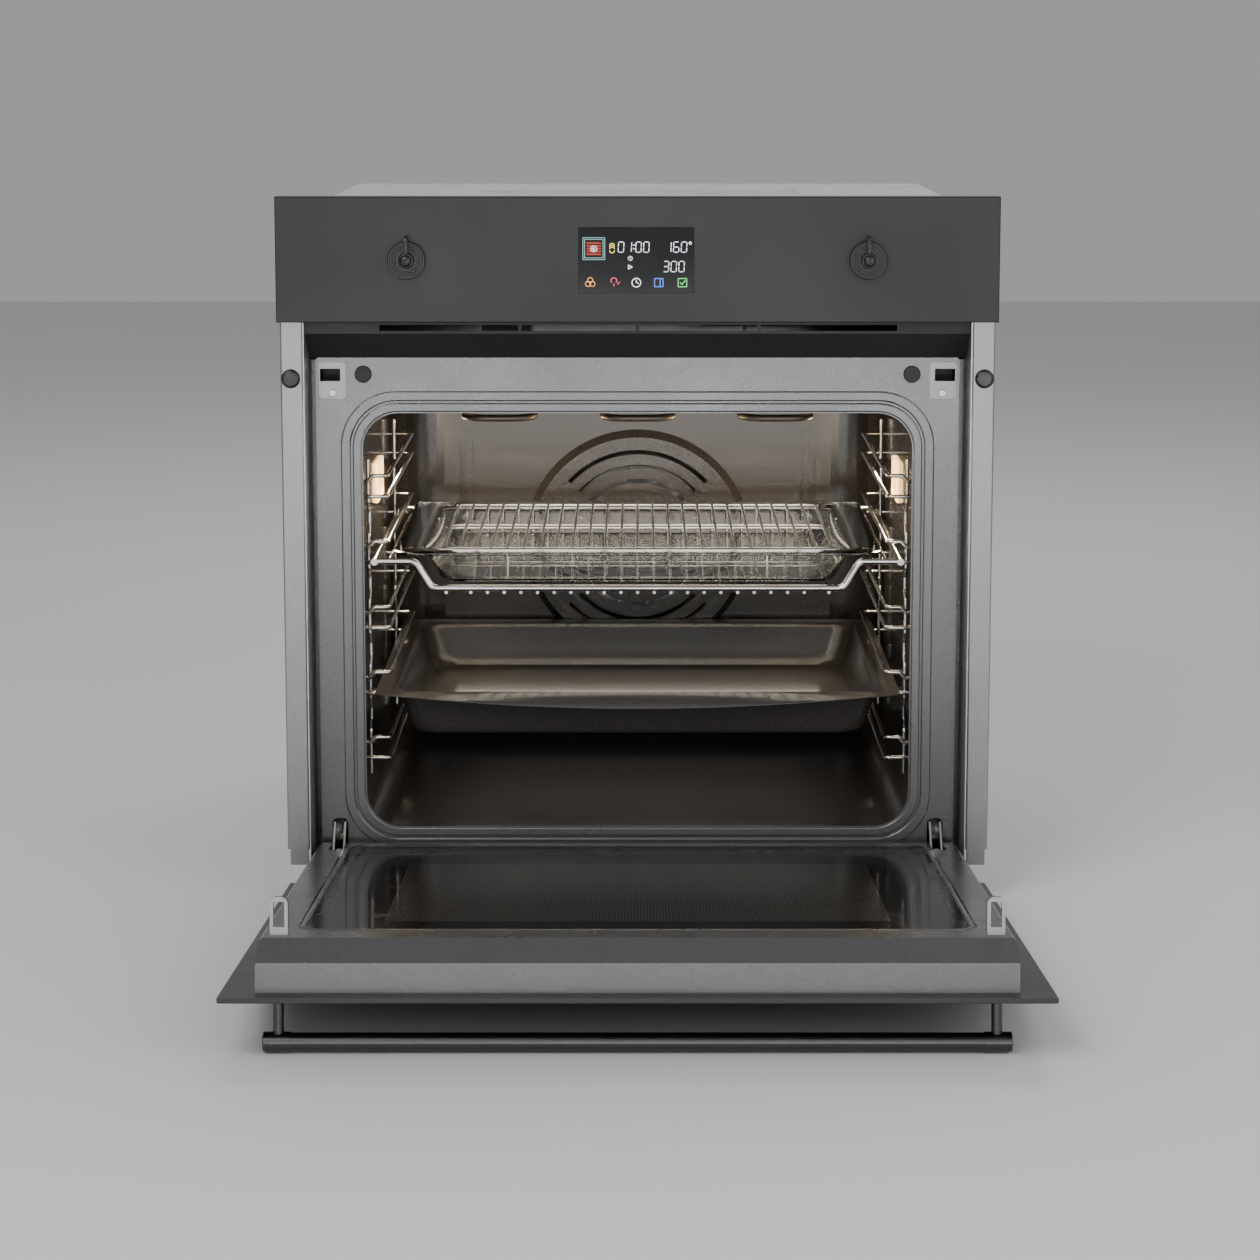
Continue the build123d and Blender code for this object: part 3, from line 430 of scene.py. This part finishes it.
# ---------------------------------------------------------------- knobs
def build_knob(side):
    """A turned disc with fine rings, a domed hub with a dimple and a lever that points up."""
    node = "knob_right" if side > 0 else "knob_left"
    body = "right_knob" if side > 0 else "left_knob"
    low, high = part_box(node)
    radius = (high.x - low.x) / 2
    centre = Vector(((low.x + high.x) / 2, FRONT, low.z + radius))
    reach = FRONT - low.y
    profile = [(3 * MM, 0.6 * MM), (radius - 0.6 * MM, 0.6 * MM), (radius, 1.2 * MM),
               (radius, DISC_OUT - 0.8 * MM), (radius - 0.8 * MM, DISC_OUT)]
    for ring in range(RINGS_ON_DISC):
        edge = radius - 1.6 * MM - ring * RING_PITCH
        profile += [(edge, DISC_OUT), (edge - 0.3 * MM, DISC_OUT - 0.25 * MM), (edge - 0.6 * MM, DISC_OUT)]
    profile += [(HUB_RADIUS + 0.5 * MM, DISC_OUT), (HUB_RADIUS, DISC_OUT + 0.5 * MM),
                (HUB_RADIUS, reach - 2.4 * MM),
                (HUB_RADIUS - 0.7 * MM, reach - 1.5 * MM), (HUB_RADIUS - 1.6 * MM, reach - 1.3 * MM),
                (HUB_RADIUS - 2.2 * MM, reach - 1.9 * MM), (HUB_RADIUS - 2.6 * MM, reach - 0.9 * MM),
                (HUB_RADIUS - 3.6 * MM, reach - 0.2 * MM), (1.3 * MM, reach), (1.0 * MM, reach - 0.7 * MM),
                (0, reach - 0.9 * MM)]
    vertices, faces = lathe(profile, centre)
    knob = make_piece(f"{node}_turned", vertices, faces, "knob_black", body)
    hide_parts(node)
    rows = []
    for height, thin, front in ((3, 1.0, 13.5), (8, 1.0, 13.4), (15, 0.96, 12.6), (18.6, 0.9, 11.6),
                                (19.7, 0.7, 10.6), (20, 0.35, 9.6)):
        shorter = 1 if height < 19 else 0.8
        deep = (front - LEVER_BACK) / 2 * MM * shorter
        loop = rounded_loop(LEVER_HALF * thin, deep, 0.7 * MM * thin, 4)
        middle = centre.y - (front + LEVER_BACK) / 2 * MM
        rows.append([(centre.x + x, middle + y, centre.z + height * MM) for x, y in loop])
    vertices, faces = loft(rows)
    make_piece(f"{node}_lever", vertices, faces, "knob_black", body)


# ---------------------------------------------------------------- display
def stroke(points, width):
    """Corners and faces of a flat line with square ends, in X and Z millimetres."""
    vertices, faces = [], []
    for (x0, z0), (x1, z1) in zip(points, points[1:]):
        length = math.hypot(x1 - x0, z1 - z0) or 1.0
        nx, nz = -(z1 - z0) / length * width / 2, (x1 - x0) / length * width / 2
        start = len(vertices)
        vertices += [(x0 + nx, z0 + nz), (x1 + nx, z1 + nz), (x1 - nx, z1 - nz), (x0 - nx, z0 - nz)]
        faces.append((start, start + 1, start + 2, start + 3))
    return vertices, faces


def arc(cx, cz, radius, start=0, stop=360, steps=28):
    return [(cx + radius * math.cos(math.radians(start + (stop - start) * i / steps)),
             cz + radius * math.sin(math.radians(start + (stop - start) * i / steps)))
            for i in range(steps + 1)]


def symbol(name, lines, width, color, strength=1.3):
    """A lit symbol: flat strokes without thickness, just in front of the display glass."""
    vertices, faces = [], []
    for line in lines:
        points, quads = stroke(line, width)
        base = len(vertices)
        vertices += points
        faces += [tuple(base + i for i in quad) for quad in quads]
    centre = (window_low + window_high) / 2
    front = [(centre.x + x * MM, window_low.y - LAYER, centre.z + z * MM) for x, z in vertices]
    make_piece(name, front, faces, "display_glass", "root", glowing(f"lit_{name}", color, strength))


SEGMENTS = {
    "a": ((0.15, 2), (0.85, 2)), "b": ((1, 1.9), (1, 1.1)), "c": ((1, 0.9), (1, 0.1)),
    "d": ((0.15, 0), (0.85, 0)), "e": ((0, 0.9), (0, 0.1)), "f": ((0, 1.9), (0, 1.1)),
    "g": ((0.15, 1), (0.85, 1)),
}
DIGITS = {"0": "abcdef", "1": "bc", "3": "abcdg", "6": "acdefg"}


def digit_lines(text, x, z, height):
    """Seven-segment digits from their lower left corner on, in millimetres."""
    lines = []
    width = height * DIGIT_WIDTH
    for letter in text:
        for key in DIGITS[letter]:
            lines.append([(x + u * width + v * height / 2 * DIGIT_SLANT, z + v * height / 2)
                          for u, v in SEGMENTS[key]])
        x += width * DIGIT_STEP
    return lines


WHITE = (0.9, 0.93, 1.0)
ORANGE = (1.0, 0.42, 0.05)
MAGENTA = (0.9, 0.06, 0.16)
BLUE = (0.05, 0.2, 0.8)
GREEN = (0.1, 0.7, 0.15)
YELLOW = (1.0, 0.75, 0.1)
RED = (0.35, 0.03, 0.01)
TEAL = (0.2, 0.4, 0.4)


def outline(x0, z0, x1, z1):
    """A closed rectangle between two corners."""
    return [(x0, z0), (x1, z0), (x1, z1), (x0, z1), (x0, z0)]


def spokes(x, z, length, step):
    """Lines out of a point, one every step degrees."""
    ends = [math.radians(turn) for turn in range(0, 360, step)]
    return [[(x, z), (x + length * math.cos(t), z + length * math.sin(t))] for t in ends]


def build_figures():
    """Time, temperature and power in seven-segment digits."""
    symbol("hours", digit_lines("01", -15, 6.5, DIGIT_HEIGHT), DIGIT_LINE, WHITE)
    symbol("minutes", digit_lines("00", -0.6, 6.5, DIGIT_HEIGHT), DIGIT_LINE, WHITE)
    symbol("colon", [[(-2.1, 9), (-2.1, 9.9)], [(-1.9, 12), (-1.9, 12.9)]], 0.8, WHITE)
    symbol("degrees_figure", digit_lines("160", 24, 6.5, DIGIT_HEIGHT), DIGIT_LINE, WHITE)
    symbol("degree_ring", [arc(44.3, 14, 1.0)], 0.5, WHITE)
    symbol("power_figure", digit_lines("300", 22, -9.5, DIGIT_HEIGHT), DIGIT_LINE, WHITE)
    small_hands = [[(-5, 1.5), (-5, 2.7)], [(-5, 1.5), (-4.2, 1.2)]]
    symbol("small_clock", [arc(-5, 1.5, 1.7)] + small_hands, 0.35, WHITE)
    symbol("start_arrow", [[(-6.5, -4), (-6.5, -7.2), (-3.4, -5.6), (-6.5, -4)]], 0.55, WHITE)


def build_mode():
    """The chosen function: a framed fan, with the steam sign beside it."""
    x, z = -35, 9.5
    frames = [outline(x - half, z - half, x + half, z + half) for half in (9.0, 7.6)]
    symbol("mode_frame", frames, 0.5, TEAL, 1.0)
    bars = [[(-41, z + i * 2.3), (-29, z + i * 2.3)] for i in (-2, -1, 0, 1, 2)]
    symbol("mode_glow", bars, 1.5, RED, 0.5)
    symbol("mode_fan", [arc(x, z, 2.6, 0, 360, 16)] + spokes(x, z, 2.6, 60), 0.5, WHITE)
    waves = [arc(-20, 8.5 + k, 2.2, 20, 160, 10) for k in (0, 1.5, 3)]
    symbol("steam", waves + [arc(-20, 8, 2.0, 180, 360, 10)], 0.55, YELLOW)


def build_symbol_row():
    """Five keys along the foot of the display."""
    row = SYMBOL_ROW
    leaves = [(-38 + 2.1 * math.cos(math.radians(t)), row + 2.1 * math.sin(math.radians(t)))
              for t in (90, 210, 330)]
    symbol("trefoil", [arc(x, z, 2.1, 0, 360, 18) for x, z in leaves], 0.5, ORANGE)
    stem = [[(-18.5, row - 0.8), (-18.5, row - 3)], [(-15.5, row - 1.5), (-13.5, row + 0.8)]]
    symbol("probe", [arc(-18.5, row + 1.6, 2.4, -40, 220, 16)] + stem, 0.6, MAGENTA)
    hands = [[(0, row), (0, row + 2.4)], [(0, row), (2.0, row - 0.6)]]
    symbol("clock", [arc(0, row, 3.6)] + hands, 0.6, WHITE)
    book = outline(15, row - 3.4, 22, row + 3.4)
    symbol("books", [book, [(19.6, row - 3), (19.6, row + 3)]], 0.7, BLUE)
    box = outline(34.5, row - 3.4, 41.5, row + 3.4)
    tick = [(36, row + 0.2), (37.6, row - 1.6), (40.4, row + 2)]
    symbol("check_box", [box, tick], 0.6, GREEN)


def build_display():
    build_figures()
    build_mode()
    build_symbol_row()


# ---------------------------------------------------------------- trays
def build_glass_tray():
    """Pressed glass: a flat flange, a thick rounded rim and a basin with soft corners."""
    middle = (glass_low + glass_high) / 2
    half_x, half_y = (glass_high.x - glass_low.x) / 2, (glass_high.y - glass_low.y) / 2
    top, floor = glass_high.z, glass_low.z
    outer = [(62, floor), (46, floor + 0.3 * MM), (40, floor + 2 * MM), (37, floor + 6 * MM),
             (26, top - 5 * MM), (23.5, top - 3.2 * MM), (20, top - 3.0 * MM), (1.5, top - 3.0 * MM),
             (0.2, top - 2.4 * MM)]
    inner = [(0, top - 1.5 * MM), (0.8, top - 0.4 * MM), (2.4, top - 0.2 * MM), (17, top - 0.2 * MM),
             (19, top), (22, top), (24.5, top - 0.8 * MM), (26.5, top - 3 * MM),
             (38.5, floor + 8 * MM), (42, floor + 4 * MM), (48, floor + GLASS_SHEET),
             (62, floor + GLASS_SHEET)]
    loops = []
    for inset, z in outer + inner:
        radius = max(8 * MM, 18 * MM - inset * MM * 0.1) if inset < 20 else 22 * MM
        basin_inset = 3 * MM if inset > 20 else 0
        ring = rounded_loop(half_x - inset * MM, half_y - inset * MM * 0.55 - basin_inset, radius)
        loops.append([(middle.x + x, middle.y + y, z) for x, y in ring])
    vertices, faces = loft(loops)
    tray = make_piece("glass_tray_pressed", vertices, faces, "clear_glass", "glass_tray")
    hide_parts("glass_tray")


def build_deep_tray():
    """Deep enamelled tray: rolled flange, drawn basin, and a front lip that dips in the middle."""
    flange_top = tray_high.z
    middle = (tray_low + tray_high) / 2
    half_x, half_y = (tray_high.x - tray_low.x) / 2, (tray_high.y - tray_low.y) / 2
    floor = tray_low.z
    upper = [(0.4, flange_top - 1.2 * MM), (0, flange_top - 0.6 * MM), (0.5, flange_top), (3, flange_top),
             (8, flange_top), (14, flange_top), (17.5, flange_top - 0.3 * MM), (19.5, flange_top - 2 * MM),
             (20.8, flange_top - 6 * MM), (27, floor + 14 * MM), (29.5, floor + 7 * MM),
             (33, floor + 2.6 * MM), (39, floor + ENAMEL_SHEET), (55, floor + ENAMEL_SHEET)]
    lower = [(55, floor), (38.6, floor), (32.2, floor + 1.6 * MM), (28.5, floor + 6.4 * MM),
             (26, floor + 14 * MM), (19.8, flange_top - 6 * MM), (18.6, flange_top - 2.8 * MM),
             (17, flange_top - 1.4 * MM), (14, flange_top - 1.2 * MM), (8, flange_top - 1.2 * MM),
             (3, flange_top - 1.2 * MM)]
    loops = []
    for inset, z in upper + lower:
        radius = 12 * MM if inset < 17 else 20 * MM
        ring = subdivided_loop(half_x - inset * MM, half_y - inset * MM, radius, 24)
        loops.append([(middle.x + x, middle.y + y, z) for x, y in ring])
    count = len(loops[0])
    vertices = [point for loop in loops for point in loop]
    faces = []
    rows = len(loops)
    for row in range(rows):
        if row == len(upper) - 1:
            continue
        after = (row + 1) % rows
        for i in range(count):
            j = (i + 1) % count
            faces.append((row * count + i, row * count + j, after * count + j, after * count + i))
    faces.append(tuple((len(upper) - 1) * count + i for i in range(count)))
    faces.append(tuple(reversed([len(upper) * count + i for i in range(count)])))
    vertices = [dip_front(Vector(v), middle.x, half_x) for v in vertices]
    tray = make_piece("deep_tray_drawn", vertices, faces, "tray_enamel", "deep_tray")
    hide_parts("deep_tray")


def subdivided_loop(half_x, half_y, radius, steps):
    """A rounded rectangle whose long sides also carry points, so that they can bend."""
    corners = rounded_loop(half_x, half_y, radius, 8)
    points = []
    for i, (x0, y0) in enumerate(corners):
        x1, y1 = corners[(i + 1) % len(corners)]
        points.append((x0, y0))
        if (i + 1) % 9 == 0:
            points += [(x0 + (x1 - x0) * k / steps, y0 + (y1 - y0) * k / steps) for k in range(1, steps)]
    return points


def dip_front(point, middle_x, half_x):
    """Lowers the front edge of the deep tray's flange, most at its middle."""
    front = tray_low.y
    share = max(0.0, min(1.0, (front + LIP_DEPTH - point.y) / LIP_DEPTH))
    across = max(0.0, 1 - ((point.x - middle_x) / (half_x * 0.93)) ** 2)
    drop = LIP_DROP * across * share ** 1.4
    return Vector((point.x, point.y + drop * 0.25, point.z - drop))


# ---------------------------------------------------------------- details of the door
def tilted(low, high, thickness):
    """A flat door sheet's centre, its tilt as a matrix, and its outward normal, from its box."""
    tilt = Euler((-math.atan2(high.z - low.z - thickness, high.y - low.y), 0, 0)).to_matrix()
    return (low + high) / 2, tilt, tilt @ Vector((0, 0, 1))


def build_liner_rib():
    """A rounded bead along the edges of the door's inner glass."""
    low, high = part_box("door_glass")
    middle, tilt, normal = tilted(low, high, PANE)
    surface = middle + normal * (PANE / 2 + 0.25 * MM)
    length = math.hypot(high.y - low.y, high.z - low.z) - PANE
    half_x = (high.x - low.x) / 2 - 3.4 * MM
    half_y = length / 2 + 5.5 * MM
    path = [surface + tilt @ Vector((x, y, 0)) for x, y in rounded_loop(half_x, half_y, 15 * MM, 12)]
    vertices, faces = tube_loops(path, (2.2 * MM, 0.7 * MM))
    make_piece("liner_rib_0", vertices, faces, "liner_enamel", "door")


def build_screen_window():
    """The perforated window, just above the screen sheet."""
    middle, tilt, normal = tilted(*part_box("door_screen"), SCREEN)
    top = middle + normal * (SCREEN / 2 + 0.15 * MM)
    corners = [(x * WINDOW_HALF[0], y * WINDOW_HALF[1]) for x, y in ((-1, -1), (1, -1), (1, 1), (-1, 1))]
    vertices = [top + tilt @ Vector((x, y, h * MM)) for h in (-0.1, 0.1) for x, y in corners]
    faces = [(3, 2, 1, 0), (4, 5, 6, 7), (0, 1, 5, 4), (1, 2, 6, 5), (2, 3, 7, 6), (3, 0, 4, 7)]
    sheet = perforated("perforated_sheet")
    make_piece("screen_perforation", vertices, faces, "mesh_steel", "door", sheet)


# ---------------------------------------------------------------- small fasteners
def build_casing_screws():
    """Pan-head screws round the rear cover."""
    wide = cover_high.x - cover_low.x - 2 * SCREW_INSET
    tall = cover_high.z - cover_low.z - 2 * SCREW_INSET
    gaps = SCREWS_PER_SIDE - 1
    columns = [cover_low.x + SCREW_INSET + i * wide / gaps for i in range(SCREWS_PER_SIDE)]
    rows = [cover_low.z + SCREW_INSET + i * tall / gaps for i in range(SCREWS_PER_SIDE)]
    places = [(x, z) for x in columns for z in (rows[0], rows[-1])]
    places += [(x, z) for x in (columns[0], columns[-1]) for z in rows[1:-1]]
    back = cover_high.y
    for number, (x, z) in enumerate(places):
        profile = [(3.6 * MM, 0.0), (3.6 * MM, -0.6 * MM), (3.0 * MM, -1.5 * MM), (1.8 * MM, -2.0 * MM),
                   (1.2 * MM, -2.0 * MM), (1.0 * MM, -1.2 * MM), (0, -1.2 * MM)]
        vertices, faces = lathe(profile, Vector((x, back, z)), 28)
        make_piece(f"cover_screw_{number}", vertices, faces, "zinc_screw", "root")


# ---------------------------------------------------------------- stage, light and camera
def build_stage():
    mesh = bpy.data.meshes.new("floor")
    half = FLOOR_HALF
    corners = [(-half, -half, 0), (half, -half, 0), (half, half, 0), (-half, half, 0)]
    mesh.from_pydata(corners, [], [(0, 1, 2, 3)])
    floor = bpy.data.objects.new("floor", mesh)
    bpy.context.scene.collection.objects.link(floor)
    floor.location.z = cad_bounds[0].z - FLOOR_GAP
    pale = new_material("pale_floor", (0.72, 0.72, 0.71), 0.0, 0.6)
    vary(pale, noise(pale, 3), "Roughness", 0.55, 0.68)
    mesh.materials.append(pale)
    world = bpy.data.worlds.new("studio")
    bpy.context.scene.world = world
    world.use_nodes = True
    background = world.node_tree.nodes["Background"]
    background.inputs["Color"].default_value = (0.82, 0.84, 0.87, 1)
    background.inputs["Strength"].default_value = 0.42


def area_light(name, place, target, size, power, color=(1, 1, 1)):
    data = bpy.data.lights.new(name, "AREA")
    data.shape = "RECTANGLE"
    data.size, data.size_y = size
    data.energy = power
    data.color = color
    light = bpy.data.objects.new(name, data)
    bpy.context.scene.collection.objects.link(light)
    light.location = place
    light.rotation_mode = "QUATERNION"
    light.rotation_quaternion = (Vector(target) - Vector(place)).to_track_quat("-Z", "Y")


def build_lights():
    area_light("key", (-1.3, -2.4, 2.3), (0, -0.2, 0.3), (1.6, 1.6), 48)
    area_light("fill", (1.8, -2.0, 1.2), (0, -0.1, 0.3), (1.4, 1.8), 22)
    area_light("rim", (0.3, 1.6, 2.6), (0, 0, 0.4), (2.0, 1.0), 26)
    area_light("front", (0, -3.0, 1.0), (0, -0.2, 0.25), (1.6, 0.5), 6)
    area_light("low_front", (0, -3.0, 0.16), (0, -0.5, 0.12), (2.2, 0.2), 11)
    warm = (1.0, 0.76, 0.48)
    height = (lens_low.z + lens_high.z) / 2
    depth = (lens_low.y + lens_high.y) / 2
    for side in (1, -1):
        x = side * (lens_high.x - 8 * MM)
        aim = (0, depth, height - 0.12)
        area_light(f"oven_lamp_{side}", (x, depth, height), aim, (0.05, 0.03), 1.0, warm)
    soft_warm = (1.0, 0.88, 0.74)
    glow_size = (0.34, 0.22)
    area_light("oven_glow", (0, FRONT + 0.24, 0.405), (0, FRONT + 0.30, 0.1), glow_size, 0.8, soft_warm)
    floor_aim = (0, FRONT + 0.24, 0.0)
    area_light("oven_floor_glow", (0, FRONT + 0.22, 0.125), floor_aim, glow_size, 0.3, soft_warm)


def build_camera():
    data = bpy.data.cameras.new("camera")
    camera = bpy.data.objects.new("camera", data)
    bpy.context.scene.collection.objects.link(camera)
    camera.location = (0, FRONT - CAMERA_BACK, CAMERA_HEIGHT)
    camera.rotation_euler = (math.radians(90 - CAMERA_PITCH), 0, 0)
    data.lens = CAMERA_LENS
    data.sensor_width = 36
    data.shift_x, data.shift_y = CAMERA_SHIFT
    bpy.context.scene.camera = camera


dress_frame()
for knob_side in (1, -1):
    build_knob(knob_side)
build_display()
build_glass_tray()
build_deep_tray()
build_liner_rib()
build_screen_window()
build_casing_screws()
build_stage()
build_lights()
build_camera()
